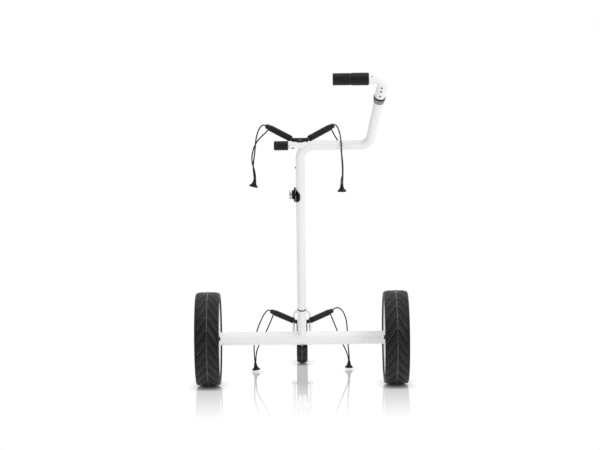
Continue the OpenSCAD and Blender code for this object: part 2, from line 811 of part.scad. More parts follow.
at_wheel(1) release_button();  // release_button_right
front_tyre();
front_rim();
front_bearings();
mast_tube();
knob_saddle();
star_knob();
knob_insert();
crank_tube();
slide_tube();
sleeve_button();
stub_tube();
stub_screw();
stub_cap();
upper_saddle();
in_upper() bracket_rod();  // upper_bracket
in_upper() foam(-1);  // upper_sleeve_left
in_upper() foam(1);  // upper_sleeve_right
in_upper() tip_plugs();  // upper_tip_plugs
union() {  // cord_upper_left
    cord(upper_left_over);
    cord(upper_left_under);
}
union() {  // cord_upper_right
    cord(upper_right_over);
    cord(upper_right_under);
}
hook([-129, -229, 625], 14);  // hook_upper_left
hook([115, -319.8, 616.6], 0);  // hook_upper_right
height_button();
handle_tube();
grip_inner();
grip_outer();
collar_nut();
collar_ring();
handle_screw();
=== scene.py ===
import json
import math

import bpy
from mathutils import Matrix, Vector


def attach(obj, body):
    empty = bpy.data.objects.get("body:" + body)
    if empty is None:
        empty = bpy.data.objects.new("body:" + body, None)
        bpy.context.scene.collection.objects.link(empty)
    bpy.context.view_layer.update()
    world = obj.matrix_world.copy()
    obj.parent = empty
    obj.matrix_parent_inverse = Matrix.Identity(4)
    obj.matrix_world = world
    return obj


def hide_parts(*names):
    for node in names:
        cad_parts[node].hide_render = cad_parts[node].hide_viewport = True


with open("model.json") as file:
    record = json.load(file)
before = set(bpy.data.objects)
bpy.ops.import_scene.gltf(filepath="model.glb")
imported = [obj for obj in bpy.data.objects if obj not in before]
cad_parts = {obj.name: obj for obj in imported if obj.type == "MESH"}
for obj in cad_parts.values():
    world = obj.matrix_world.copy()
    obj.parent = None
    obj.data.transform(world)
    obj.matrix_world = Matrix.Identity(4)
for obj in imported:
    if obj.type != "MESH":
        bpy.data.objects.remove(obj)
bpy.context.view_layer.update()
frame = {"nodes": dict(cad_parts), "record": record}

scene = bpy.context.scene
MM = 0.001
TAU = 2 * math.pi

# ---------------------------------------------------------------- camera
CAMERA_AT = (0, -6.06, 1.07)   # metres
PITCH = math.radians(5.598)
ROLL = math.radians(0.6)
YAW = math.radians(0.025)
cam_data = bpy.data.cameras.new("camera")
cam_data.sensor_width = 36.0
cam_data.lens = 124.2
cam_data.clip_end = 100
cam = bpy.data.objects.new("camera", cam_data)
scene.collection.objects.link(cam)
cam.matrix_world = (
    Matrix.Translation(CAMERA_AT)
    @ Matrix.Rotation(YAW, 4, "Z")
    @ Matrix.Rotation(math.pi / 2 - PITCH, 4, "X")
    @ Matrix.Rotation(-ROLL, 4, "Z")
)
scene.camera = cam
scene.view_settings.view_transform = "Standard"
scene.view_settings.look = "None"


# ---------------------------------------------------------------- materials
def map_range(tree, source, lo, hi, a, b):
    """Takes a value from the range lo..hi to the range a..b."""
    r = tree.nodes.new("ShaderNodeMapRange")
    r.inputs["From Min"].default_value = lo
    r.inputs["From Max"].default_value = hi
    r.inputs["To Min"].default_value = a
    r.inputs["To Max"].default_value = b
    tree.links.new(source, r.inputs["Value"])
    return r.outputs["Result"]


class Mat:
    """A principled material with procedural colour variation and bump."""

    def __init__(self, name, color, rough, metallic=0.0, spec=0.5, coat=0.0):
        self.mat = bpy.data.materials.new(name)
        self.mat.use_nodes = True
        self.mat.diffuse_color = (*color, 1)
        self.nt = self.mat.node_tree
        self.bsdf = self.nt.nodes["Principled BSDF"]
        b = self.bsdf.inputs
        b["Base Color"].default_value = (*color, 1)
        b["Roughness"].default_value = rough
        b["Metallic"].default_value = metallic
        b["Specular IOR Level"].default_value = spec
        b["Coat Weight"].default_value = coat
        b["Coat Roughness"].default_value = 0.12
        self.color = color
        self.rough = rough
        self.height = None
        self.coord = self.nt.nodes.new("ShaderNodeTexCoord").outputs["Object"]

    def node(self, kind, **values):
        n = self.nt.nodes.new(kind)
        for key, value in values.items():
            if key in n.inputs:
                n.inputs[key].default_value = value
            else:
                setattr(n, key, value)
        return n

    def link(self, a, b):
        self.nt.links.new(a, b)

    def noise(self, scale, detail=3.0, stretch=None, distortion=0.0):
        n = self.node("ShaderNodeTexNoise", Scale=scale, Detail=detail, Distortion=distortion)
        source = self.coord
        if stretch:
            m = self.node("ShaderNodeMapping")
            m.inputs["Scale"].default_value = stretch
            self.link(self.coord, m.inputs["Vector"])
            source = m.outputs["Vector"]
        self.link(source, n.inputs["Vector"])
        return n.outputs["Fac"]

    def ramp(self, source, lo, hi, a, b):
        return map_range(self.nt, source, lo, hi, a, b)

    def waves(self, axes, degrees, scale, strength):
        """Two sets of fine parallel ribs that cross each other."""
        for angle in (degrees, -degrees):
            turn = self.node("ShaderNodeMapping")
            turn.inputs["Rotation"].default_value = tuple(math.radians(angle) * axis for axis in axes)
            wave = self.node("ShaderNodeTexWave", Scale=scale)
            self.link(self.coord, turn.inputs["Vector"])
            self.link(turn.outputs["Vector"], wave.inputs["Vector"])
            self.bump(wave.outputs["Fac"], strength, 0.0004)

    def mottle(self, source, amount, lo=0.3, hi=0.7):
        """Colour varies between two shades as the source goes from lo to hi."""
        mix = self.node("ShaderNodeMix", data_type="RGBA")
        dark = tuple(c * (1 - amount) for c in self.color)
        mix.inputs["A"].default_value = (*dark, 1)
        mix.inputs["B"].default_value = (*self.color, 1)
        self.link(self.ramp(source, lo, hi, 0.0, 1.0), mix.inputs["Factor"])
        self.link(mix.outputs["Result"], self.bsdf.inputs["Base Color"])

    def vary_rough(self, source, spread):
        rough = self.ramp(source, 0.25, 0.75, self.rough - spread, self.rough + spread)
        self.link(rough, self.bsdf.inputs["Roughness"])

    def bump(self, source, strength, distance):
        """Adds one layer of bump on top of those before it. distance is in metres."""
        n = self.node("ShaderNodeBump")
        n.inputs["Strength"].default_value = strength
        n.inputs["Distance"].default_value = distance
        self.link(source, n.inputs["Height"])
        if self.height is not None:
            self.link(self.height, n.inputs["Normal"])
        self.height = n.outputs["Normal"]
        self.link(self.height, self.bsdf.inputs["Normal"])


def paint(name, color, rough, spec=0.5, coat=0.35):
    """Powder coat: a smooth gloss with a slight orange peel and faint handling haze."""
    m = Mat(name, color, rough, spec=spec, coat=coat)
    haze = m.noise(9, 4)
    m.mottle(haze, 0.015, 0.35, 0.65)
    m.vary_rough(haze, 0.04)
    m.bump(m.noise(900, 2), 0.05, 0.0001)
    return m.mat


def moulded(name, color, rough, grain=1500, strength=0.25, spec=0.25):
    """Moulded plastic with an eroded texture."""
    m = Mat(name, color, rough, spec=spec)
    patch = m.noise(60, 4)
    m.mottle(patch, 0.25)
    m.vary_rough(patch, 0.07)
    m.bump(m.noise(grain, 4), strength, 0.0003)
    return m.mat


def foam_mat():
    """Closed-cell foam: small open pores and a dusty bloom."""
    m = Mat("foam", DUSTY_BLACK, 0.7, spec=0.2)
    m.bsdf.inputs["Sheen Weight"].default_value = 0.06
    m.bsdf.inputs["Sheen Roughness"].default_value = 0.5
    cells = m.node("ShaderNodeTexVoronoi", Scale=900.0)
    m.link(m.coord, cells.inputs["Vector"])
    bloom = m.noise(120, 5)
    m.mottle(bloom, 0.4)
    m.bump(m.ramp(cells.outputs["Distance"], 0.0, 0.6, 0.0, 1.0), 0.55, 0.0005)
    m.bump(m.noise(260, 3), 0.3, 0.0005)
    return m.mat


def bloomed(name, color, rough):
    """Rubber with a grey bloom in patches, before its skin is added."""
    m = Mat(name, color, rough, spec=0.25)
    bloom = m.noise(45, 6, distortion=0.6)
    m.mottle(bloom, 0.35)
    m.vary_rough(bloom, 0.08)
    return m


def rubber(name, color, rough, grain=700, strength=0.3):
    """Tyre and grip rubber with a fine pitted skin."""
    m = bloomed(name, color, rough)
    m.bump(m.noise(grain, 4), strength, 0.0003)
    return m.mat


def tread_mat():
    """Tread rubber with a fine crossed pattern moulded between the ribs."""
    m = bloomed("tread_rubber", (0.006, 0.006, 0.0065), 0.45)
    m.waves((0, 1, 0), 42, 210.0, 0.25)
    m.bump(m.noise(700, 4), 0.3, 0.0003)
    return m.mat


def edge_highlight_mat():
    """Lug edges and the centre rib: smoother, and painted lighter than the rest of the tread as a highlight
    where the ridges catch light.
    """
    # The light base colour is a painted highlight; the noise patches vary its strength.
    m = Mat("tread_edges_painted_highlight", (0.030, 0.030, 0.031), 0.3, spec=0.6)
    wear_and_highlight = m.noise(70, 5)
    m.mottle(wear_and_highlight, 0.5)
    m.vary_rough(wear_and_highlight, 0.08)
    m.bump(m.noise(800, 3), 0.15, 0.0002)
    return m.mat


def metal(name, color, rough):
    """Turned or drawn metal with fine tool lines along one direction."""
    m = Mat(name, color, rough, metallic=1.0)
    lines = m.noise(120, 3, stretch=(1, 1, 40))
    m.mottle(lines, 0.15)
    m.vary_rough(lines, 0.08)
    m.bump(lines, 0.12, 0.0002)
    return m.mat


def cord_mat():
    """Braided cover of the elastic cord, as crossed ribs seen in the round."""
    m = Mat("cord_braid", BLACK, 0.6, spec=0.2)
    m.bsdf.inputs["Sheen Weight"].default_value = 0.08
    m.waves((1, 1, 0), 38, 320.0, 0.4)
    fleck = m.noise(600, 3)
    m.mottle(fleck, 0.35, 0.35, 0.65)
    return m.mat


WHITE = (0.86, 0.86, 0.865)
BLACK = (0.010, 0.010, 0.011)
DUSTY_BLACK = (0.011, 0.011, 0.012)
BARE = (0.60, 0.60, 0.62)
MATS = {
    "steel_white": paint("powder_white_steel", WHITE, 0.30),
    "alu_white": paint("powder_white_aluminium", WHITE, 0.28),
    "steel_black": paint("satin_black", BLACK, 0.38, 0.3, 0.0),
    "foam_black": foam_mat(),
    "tyre_black": rubber("tyre_rubber", (0.013, 0.013, 0.014), 0.5),
    "rim_white": paint("rim_white", (0.87, 0.87, 0.875), 0.25),
    "hub_black": moulded("hub_plastic", DUSTY_BLACK, 0.42),
    "steel_bright": metal("bright_steel", (0.56, 0.56, 0.58), 0.3),
    "screw_dark": metal("dark_steel", (0.14, 0.14, 0.15), 0.42),
    "button_grey": moulded("button_plastic", (0.10, 0.10, 0.11), 0.42),
    "cord_black": cord_mat(),
    "hook_black": moulded("hook_plastic", BLACK, 0.38, 900, 0.2),
    "knob_black": moulded("knob_plastic", (0.009, 0.009, 0.010), 0.45, spec=0.12),
    "insert_silver": metal("insert_aluminium", BARE, 0.28),
    "cap_rubber": rubber("cap_rubber", DUSTY_BLACK, 0.5),
    "grip_rubber": rubber("grip_rubber", (0.007, 0.007, 0.0075), 0.45, 1400, 0.2),
    "collar_grey": metal("collar_aluminium", (0.30, 0.305, 0.32), 0.4),
    "tube_bare": metal("bare_aluminium", BARE, 0.3),
}
TREAD = tread_mat()
TREAD_EDGE_HIGHLIGHT = edge_highlight_mat()

for row in frame["record"]["subparts"]:
    node = frame["nodes"][row["node"]]
    node.data.materials.clear()
    node.data.materials.append(MATS[row["material_slot"]])


# ---------------------------------------------------------------- mesh helpers
def piece(name, verts, faces, mat, body, place, replaced=(), sharp=32):
    """A mesh given in millimetres in a local frame, put in place and set to ride on its body."""
    mesh = bpy.data.meshes.new(name)
    mesh.from_pydata([(place @ Vector(v)) * MM for v in verts], [], faces)
    mesh.validate()
    mesh.materials.append(mat)
    obj = bpy.data.objects.new(name, mesh)
    scene.collection.objects.link(obj)
    if place.to_3x3().determinant() < 0:
        mesh.flip_normals()
    mesh.shade_smooth()
    mesh.set_sharp_from_angle(angle=math.radians(sharp))
    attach(obj, body)
    if replaced:
        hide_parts(*replaced)
    return obj


def skin(rings, loop=False):
    """Faces between rings of equal length. With loop, the last ring joins the first."""
    n = len(rings[0])
    verts = [v for ring in rings for v in ring]
    faces = []
    for i in range(len(rings) if loop else len(rings) - 1):
        j = (i + 1) % len(rings)
        for k in range(n):
            m = (k + 1) % n
            faces.append((i * n + k, i * n + m, j * n + m, j * n + k))
    if not loop:
        faces.append(tuple(range(n))[::-1])
        faces.append(tuple(range((len(rings) - 1) * n, len(rings) * n)))
    return verts, faces


def circle(r, z, n, way=1):
    """A ring of n points at one height, numbered anticlockwise, or clockwise if way is -1."""
    return [(r * math.cos(TAU * k / n * way), r * math.sin(TAU * k / n * way), z) for k in range(n)]


def spin(profile, n, loop=False, shape=None):
    """Turns (radius, height) points about Z. shape(angle, height) scales the radius, if given."""
    rings = []
    for r, z in profile:
        ring = []
        for k in range(n):
            a = TAU * k / n
            rr = r * (shape(a, z) if shape else 1.0)
            ring.append((rr * math.cos(a), rr * math.sin(a), z))
        rings.append(ring)
    return skin(rings, loop)


def rounded(points, radius, steps=4):
    """Rounds every corner of a (radius, height) line but its two ends."""
    out = [points[0]]
    for a, b, c in zip(points, points[1:], points[2:]):
        a, b, c = Vector(a), Vector(b), Vector(c)
        d0, d1 = (a - b), (c - b)
        cut = min(radius, d0.length * 0.45, d1.length * 0.45)
        p0, p1 = b + d0.normalized() * cut, b + d1.normalized() * cut
        for s in range(steps + 1):
            t = s / steps
            out.append(tuple(p0 * (1 - t) ** 2 + b * 2 * t * (1 - t) + p1 * t * t))
    out.append(points[-1])
    return out


def rot(axis, degrees):
    return Matrix.Rotation(math.radians(degrees), 4, axis)


def move(x, y, z):
    return Matrix.Translation((x, y, z))


# Places on the trolley, in millimetres and degrees. X is to the right, Y away from the user, Z up.
LEAN = 28.6                  # the mast's lean
AXLE = 140.0                 # the rear axle's height
WHEEL_X = 277                # a rear wheel's middle, to each side
FRONT_WHEEL = (0, 400, 65)
KNOB_S = 508                 # the star knob's height along the mast
UPPER_S, UPPER_F = 677, 20   # the upper bracket, along the mast and in front of it
LOWER_BLOCK_Y = 175          # the block that carries the lower bracket
LOWER_TOP = 164              # its top
ARM_X = 19                   # where a bracket's arm starts, to each side
SIDES = ((-1, "left"), (1, "right"))


def on_mast(s, f=0.0):
    """A frame s up the mast and f in front of it, with Z along the mast."""
    return move(0, 0, AXLE) @ rot("X", LEAN) @ move(0, f, s)


def wheel_place(side):
    return move(side * WHEEL_X, 0, AXLE) @ rot("Y", side * 90)


def arm_place(base, side):
    return base @ move(side * ARM_X, 0, 0) @ rot("Z", 45 if side > 0 else 135) @ rot("Y", 90)


UPPER = on_mast(UPPER_S, UPPER_F)
LOWER = move(0, LOWER_BLOCK_Y, LOWER_TOP) @ rot("X", 17.5)


# ---------------------------------------------------------------- cords
CORD_D = 3.8
ROUTES = {
    "upper_left_over": [
        (-92, -242, 779), (-98, -237, 782), (-105, -232, 782), (-112, -229, 776), (-118, -227, 764),
        (-123, -226, 748), (-126, -226, 728), (-128, -226, 706), (-131, -227, 684),
        (-133, -227, 662), (-131, -227, 641), (-130, -227, 621)],
    "upper_left_under": [
        (-87, -243, 773), (-93, -239, 765), (-101, -235, 757), (-110, -232, 749), (-118, -231, 740),
        (-126, -231, 728), (-132, -231, 713), (-136, -231, 694), (-135, -231, 674),
        (-130, -231, 656), (-127, -231, 638), (-128, -231, 621)],
    "upper_right_over": [
        (90.5, -243.5, 778.3), (96.8, -249.5, 782.7), (101.6, -257.9, 781.1),
        (104.6, -266.6, 777.1), (106.8, -275.3, 772.8), (108.5, -284.1, 768.4),
        (109.9, -293, 764.1), (111, -301.8, 759.6), (111.8, -310.7, 755.2), (112.5, -319.5, 750.6),
        (113.1, -327.6, 744.9), (113.6, -334.5, 737.7), (113.9, -339.8, 729.3),
        (114.1, -342.6, 719.7), (114.4, -342.5, 709.8), (114.9, -341.1, 699.9),
        (115.6, -338.8, 690.2), (116.2, -336.3, 680.6), (116.8, -333.5, 671.1),
        (117.1, -330.6, 661.5), (117, -327.7, 652), (116.3, -324.6, 642.6), (113.6, -321.6, 633.3),
        (113, -320.4, 623.6), (113, -319.8, 613.6)],
    "upper_right_under": [
        (87, -243, 773), (91.5, -250, 763), (97, -259, 753), (103, -270, 743), (108.5, -282, 733),
        (112.5, -293, 721), (115, -302, 707), (116.8, -309, 692), (118, -314, 676),
        (118.4, -317.5, 660), (118, -319.4, 645), (117.4, -319.9, 630), (117, -319.8, 613.6)],
    "lower_left_over": [
        (-92, 245, 186), (-98, 250, 189), (-105, 254, 188), (-113, 256, 180), (-121, 257, 167),
        (-129, 256, 150), (-136, 255, 132), (-142, 253, 112), (-147, 250, 90), (-148, 248, 68),
        (-147, 247, 44), (-145, 246.4, 19)],
    "lower_left_under": [
        (-87, 241, 179), (-91, 244, 168), (-96, 247, 155), (-102, 249, 141), (-109, 250, 126),
        (-117, 250, 110), (-125, 249, 95), (-133, 246, 81), (-139, 244, 66), (-142, 243, 50),
        (-143, 242, 34), (-144, 242, 19)],
    "lower_right_over": [
        (92, 245, 186), (98, 250, 191), (106, 256, 194), (115, 262, 192), (124, 267, 184),
        (131, 270, 172), (136, 272, 156), (139, 273, 136), (140, 273, 112), (141, 273, 88),
        (143, 273, 62), (145, 273, 40), (145, 272.4, 19)],
    "lower_right_under": [
        (87, 241, 179), (92, 246, 166), (98, 252, 150), (104, 258, 134), (110, 263, 118),
        (116, 266, 102), (122, 268, 87), (129, 269, 72), (136, 269, 56), (141, 268, 41),
        (144, 268, 19)],
}


def smooth_route(points, count=38):
    """Catmull-Rom curve through the points, resampled evenly."""
    pts = [Vector(p) for p in points]
    pts = [pts[0] * 2 - pts[1]] + pts + [pts[-1] * 2 - pts[-2]]
    dense = []
    for i in range(1, len(pts) - 2):
        p0, p1, p2, p3 = pts[i - 1:i + 3]
        for s in range(16):
            t = s / 16
            dense.append(0.5 * (2 * p1 + (p2 - p0) * t + (2 * p0 - 5 * p1 + 4 * p2 - p3) * t * t
                                + (3 * p1 - p0 - 3 * p2 + p3) * t ** 3))
    dense.append(pts[-2])
    steps = [0.0]
    for a, b in zip(dense, dense[1:]):
        steps.append(steps[-1] + (b - a).length)
    out, j = [], 0
    for k in range(count):
        target = steps[-1] * k / (count - 1)
        while j < len(steps) - 2 and steps[j + 1] < target:
            j += 1
        t = (target - steps[j]) / max(steps[j + 1] - steps[j], 1e-9)
        out.append(dense[j].lerp(dense[j + 1], t))
    return out


def make_cord(name, node, body):
    """One strand of a loop, from the arm's tip down into its hook."""
    points = smooth_route(ROUTES[name])
    curve = bpy.data.curves.new("cord_" + name, "CURVE")
    curve.dimensions = "3D"
    spline = curve.splines.new("POLY")
    spline.points.add(len(points) - 1)
    for p, q in zip(spline.points, points):
        p.co = (*(q * MM), 1)
    curve.bevel_depth = CORD_D / 2 * MM
    curve.bevel_resolution = 4
    curve.use_fill_caps = True
    curve.materials.append(MATS["cord_black"])
    obj = bpy.data.objects.new("cord_" + name, curve)
    scene.collection.objects.link(obj)
    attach(obj, body)
    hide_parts(node)


# Each hook's place, its tilt and the body it rides on
HOOKS = {
    "hook_upper_left": ((-129, -229, 625), 14, "crank"),
    "hook_upper_right": ((115, -319.8, 616.6), 0, "crank"),
    "hook_lower_left": ((-144.5, 244.2, 22), -8, "frame"),
    "hook_lower_right": ((144.5, 270.2, 22), 2, "frame"),
}


def make_hook(name):
    """A flared toggle, wide from side to side, with a rim at its foot."""
    place, tilt, body = HOOKS[name]
    line = rounded([(0.01, 4), (4.0, 4), (4.5, 2.5), (4.7, -3), (7.0, -8.5), (11.0, -13.2), (13, -15),
                    (13, -16.4), (10.6, -18), (6, -17.6), (0.01, -17.2)], 0.9)

    def waist(a, z):
        flat = min(1.0, max(0.0, (-z - 3) / 11))
        return 1 - 0.40 * flat * abs(math.sin(a)) ** 1.5

    verts, faces = spin(line[::-1], 48, shape=waist)
    return piece(name + "_toggle", verts, faces, MATS["hook_black"], body,
                 move(*place) @ rot("Y", tilt), (name,), sharp=50)


hooks = {name: make_hook(name) for name in HOOKS}
for end in ("upper", "lower"):
    for side in ("left", "right"):
        key = f"{end}_{side}"
        rider = "crank" if end == "upper" else "frame"
        make_cord(key + "_over", "cord_" + key, rider)
        make_cord(key + "_under", "cord_" + key, rider)


# ---------------------------------------------------------------- tyres
# One lug, as fractions of its pitch: a groove, a raised edge, a flat, a shallow sipe and a flat
GROOVE_END, EDGE_END = 0.11, 0.235
SIPE_START, SIPE_END = 0.46, 0.6
LUG_CUTS = (0.0, 0.035, 0.075, GROOVE_END, 0.135, 0.17, 0.205, EDGE_END,
            0.34, SIPE_START, 0.5, 0.53, 0.56, SIPE_END, 0.72, 0.86)
EDGE_STEPS = (4, 5, 6, 9)    # the cuts that start a lug-edge face, painted lighter as a highlight


def lug_relief(t, groove):
    """How far the tread stands out at t, a fraction of the lug's pitch."""
    if t < GROOVE_END:
        return -groove * math.sin(math.pi * t / GROOVE_END) ** 0.6
    if t < EDGE_END:
        return groove * 0.42 * math.sin(math.pi * (t - GROOVE_END) / (EDGE_END - GROOVE_END)) ** 0.8
    if SIPE_START <= t < SIPE_END:
        return -groove * 0.35 * math.sin(math.pi * (t - SIPE_START) / (SIPE_END - SIPE_START))
    return 0.0


def tread_weight(r, z, top, tread_edge):
    """How much of the relief a point has: none on the centre rib and on the side walls."""
    if abs(z) >= tread_edge or r <= top - 6:
        return 0.0
    return min(1.0, (tread_edge - abs(z)) / 2.5) * min(1.0, max(0.0, (abs(z) - 2.2) / 1.2))


def tyre(name, node, body, place, half, lugs, slope, seat, tread_edge, groove, up, phase):
    """A tyre whose mesh lines follow its chevron lugs. half is its section from the bead to the middle."""
    section = half + [(r, -z) for r, z in half[-2::-1]]
    top = half[-1][0]
    lean = math.tan(math.radians(slope))
    around = lugs * len(LUG_CUTS)
    rings = []
    for r, z in section:
        shift = min(abs(z), tread_edge) * lean / top
        weight = tread_weight(r, z, top, tread_edge)
        ring = []
        for lug in range(lugs):
            for t in LUG_CUTS:
                a = up * (TAU * (lug + t + phase) / lugs - shift)
                rr = r + weight * lug_relief(t, groove)
                ring.append((rr * math.cos(a), rr * math.sin(a), z))
        rings.append(ring)
    rings += [circle(seat, -half[0][1], around, up), circle(seat, half[0][1], around, up)]
    verts, faces = skin(rings, loop=True)
    if up > 0:
        faces = [f[::-1] for f in faces]
    obj = piece(name, verts, faces, TREAD, body, place, (node,), sharp=40)
    obj.data.materials.append(TREAD_EDGE_HIGHLIGHT)
    for poly in obj.data.polygons:
        row, column = divmod(min(poly.vertices), around)
        if {v % around for v in poly.vertices} == {0, around - 1}:
            column = around - 1
        if row >= len(section) - 1:
            continue
        r, z = section[row]
        on_rib = r > top - 1.2 and abs(z) < 2
        on_lugs = r > top - 5 and 2 <= abs(z) < tread_edge - 2
        # Lug-edge faces and the centre rib get the lighter material: a painted highlight where the ridges
        # catch light.
        if on_rib or (on_lugs and column % len(LUG_CUTS) in EDGE_STEPS):
            poly.material_index = 1


REAR_HALF = [(122.4, 31.5), (122.8, 33.6), (124.2, 35.2), (125.6, 35.8), (126.2, 35.2), (127.2, 35.9),
             (131.0, 36.0), (132.6, 35.7), (134.2, 34.7), (135.4, 33.2), (136.1, 31.2), (136.6, 28),
             (137.1, 24), (137.5, 20), (137.8, 16), (138.0, 12), (138.2, 8), (138.35, 5), (138.4, 3.2),
             (138.5, 2.2), (139.3, 1.7), (139.9, 1.1), (140.0, 0)]
FRONT_HALF = [(50.4, 14), (50.8, 15.6), (52, 16.7), (54, 17), (57, 17), (58.6, 16.8), (60.2, 16.0),
              (61.4, 14.6), (62.4, 12.4), (63.1, 10), (63.6, 7.4), (63.9, 5), (64.0, 3.2), (64.1, 2.2),
              (64.6, 1.4), (64.95, 0.9), (65, 0)]
for side, word in SIDES:
    tyre("tyre_tread_" + word, "rear_tyre_" + word, "rear_wheel_" + word, wheel_place(side), REAR_HALF,
         lugs=24, slope=58, seat=122.05, tread_edge=32.5, groove=2.3, up=-side, phase=0.25)
tyre("front_tyre_tread", "front_tyre", "front_wheel", move(*FRONT_WHEEL) @ rot("Y", 90), FRONT_HALF,
     lugs=14, slope=50, seat=50.05, tread_edge=14.5, groove=1.6, up=1, phase=0.1)


# ---------------------------------------------------------------- foam sleeves and tip plugs
ROD_BORE = 5.9               # over the bracket's rod
SLEEVE_ENDS = (10, 92)       # along the arm


def sleeve_line():
    """A foam sleeve's section: soft ends, a slight crown and a faint unevenness."""
    outer, (z0, z1) = 8.75, SLEEVE_ENDS
    line = [(ROD_BORE, z0), (outer - 1.6, z0 - 0.1), (outer - 0.5, z0 + 0.5), (outer, z0 + 2)]
    steps = 16
    for i in range(1, steps):
        t = i / steps
        z = z0 + 2 + (z1 - z0 - 4) * t
        line.append((outer + 0.16 * math.sin(t * math.pi) + 0.07 * math.sin(t * 23.0), z))
    return line + [(outer, z1 - 2), (outer - 0.5, z1 - 0.5), (outer - 1.6, z1 + 0.1), (ROD_BORE, z1)]


def plug_line():
    """A tip plug's section, with the groove that holds the cord."""
    return rounded([(ROD_BORE, 92.4), (7.2, 92.4), (7.2, 94), (6.8, 94.6), (6.8, 95.4), (7.2, 96),
                    (7.2, 103.6), (6.2, 105.6), (4.2, 106), (0.01, 106)], 0.7)


for end, base, body in (("upper", UPPER, "crank"), ("lower", LOWER, "frame")):
    for side, word in SIDES:
        place = arm_place(base, side)
        verts, faces = spin(sleeve_line(), 40, loop=True)
        foam = piece(f"{end}_foam_{word}", verts, [f[::-1] for f in faces], MATS["foam_black"], body, place,
                     (f"{end}_sleeve_{word}",), sharp=50)
        verts, faces = spin(plug_line()[::-1], 40)
        piece(f"{end}_tip_{word}", verts, faces, MATS["hook_black"], body, place,
              (f"{end}_tip_plugs",), sharp=40)


# ---------------------------------------------------------------- grip
GRIP_AXIS = move(0, -446, 915) @ rot("Y", 90)
GRIP_BORE = 14.66
KNURLS_ROUND = 24
KNURL_PITCH = 5.0            # along the grip


def grip_mesh(name, node, r, z0, z1, knurl=None):
    """One half of the grip, from z0 to z1 along its axis, with a knurled band if one is given."""
    nose = [(GRIP_BORE, 0), (r - 1.8, 0), (r - 0.9, 0.4), (r - 0.25, 1.6), (r, 2.8)]
    line = [(x, z0 + d) for x, d in nose]
    a, b = z0 + 3.6, z1 - 3.6
    steps = 72 if knurl else 10
    for i in range(steps + 1):
        line.append((r, a + (b - a) * i / steps))
    line += [(x, z1 - d) for x, d in nose[::-1]]
    n = 168 if knurl else 64

    def diamonds(angle, z):
        if not knurl or not knurl[0] <= z <= knurl[1]:
            return 1.0
        u, v = angle * KNURLS_ROUND, (z - knurl[0]) * TAU / KNURL_PITCH
        return 1.0 - 0.11 * max(0.0, 0.42 - abs(math.sin((u + v) / 2)) * abs(math.sin((u - v) / 2)))

    verts, faces = spin(line, n, loop=True, shape=diamonds)
    piece(name, verts, [f[::-1] for f in faces], MATS["grip_rubber"], "handle", GRIP_AXIS,
          (node,), sharp=45)


grip_mesh("grip_long_half", "grip_inner", 17.3, 138.6, 188.0)
grip_mesh("grip_knurled_half", "grip_outer", 16.6, 90.0, 138.4, knurl=(118.0, 134.5))
end_disc = rounded([(0.01, 89.9), (13.5, 89.9), (14.6, 90.4), (14.6, 92.9), (0.01, 92.9)], 0.6)
verts, faces = spin(end_disc[::-1], 48)
piece("grip_end_disc", verts, [f[::-1] for f in faces], MATS["hook_black"], "handle", GRIP_AXIS)


# ---------------------------------------------------------------- star knob
KNOB = on_mast(KNOB_S) @ rot("Y", -90)
KNOB_LOBES = 7
# (radius, height) from the mast's middle: the lobed plate, then the fluted hub
KNOB_OUTSIDE = [(13.4, 13.8), (18.6, 13.8), (20.2, 14.1), (21.0, 14.9), (21.0, 17.2), (20.5, 18.0),
                (19.4, 18.6), (16.0, 19.0), (13.4, 19.3), (12.8, 20.2), (12.4, 23.2), (12.2, 23.9),
                (11.8, 24.2), (9.1, 24.2)]
KNOB_BORES = [(9.06, 24.2), (9.06, 17.0), (3.96, 17.0), (3.96, 13.9)]


def knob_shape():
    n = 168
    rings = []
    for r, z in KNOB_OUTSIDE:
        ring = []
        dent = min(1.0, max(0.0, (r - 13.4) / 4.0))
        for k in range(n):
            a = TAU * k / n
            bite = 0.155 * max(0.0, -math.cos(KNOB_LOBES * a)) ** 1.4 * dent
            flute = 0.018 * math.cos(KNOB_LOBES * 4 * a) if 20 < z < 23.5 else 0.0
            rr = r * (1 - bite + flute)
            ring.append((rr * math.cos(a), rr * math.sin(a), z))
        rings.append(ring)
    rings += [circle(r, z, n) for r, z in KNOB_BORES]
    return skin(rings, loop=True)


verts, faces = knob_shape()
piece("star_knob_body", verts, faces, MATS["knob_black"], "knob", KNOB, ("star_knob",),
      sharp=35)


# ---------------------------------------------------------------- block under the lower bracket
def block_rings(half_x, half_y, z0, z1, corner, edge):
    """Rings of a box with round upright corners and rounded top and bottom edges."""
    rings = []
    for z, inset in ((z0, edge), (z0 + edge * 0.3, edge * 0.3), (z0 + edge, 0), (z1 - edge, 0),
                     (z1 - edge * 0.3, edge * 0.3), (z1, edge)):
        ring = []
        for sx, sy, start in ((1, 1, 0), (-1, 1, 90), (-1, -1, 180), (1, -1, 270)):
            for k in range(7):
                a = math.radians(start + 15 * k)
                ring.append((sx * (half_x - corner) + (corner - inset) * math.cos(a),
                             sy * (half_y - corner) + (corner - inset) * math.sin(a), z))
        rings.append(ring)
    return rings


def block(name, x, *sizes):
    """One part of the block, x to the side of its middle."""
    verts, faces = skin(block_rings(*sizes))
    piece(name, verts, faces, MATS["steel_black"], "frame", move(x, LOWER_BLOCK_Y, 0),
          ("lower_post",))


block("lower_block_top", 0, 16.5, 9, 126.5, LOWER_TOP, 3, 1.2)
for side, word in SIDES:
    block("lower_block_cheek_" + word, side * 14.8, 1.7, 9, 106, 130, 1.2, 0.8)


# ---------------------------------------------------------------- rubber cap on the stub
CAP = move(-33.2, -321.2, 729.13) @ rot("Y", -90)    # from the cap's mouth
CAP_LENGTH = 39.8
CAP_BORE, CAP_BORE_DEPTH = 8.8, 34.6
CAP_RIBS, CAP_RIB_PITCH = 4, 9.75


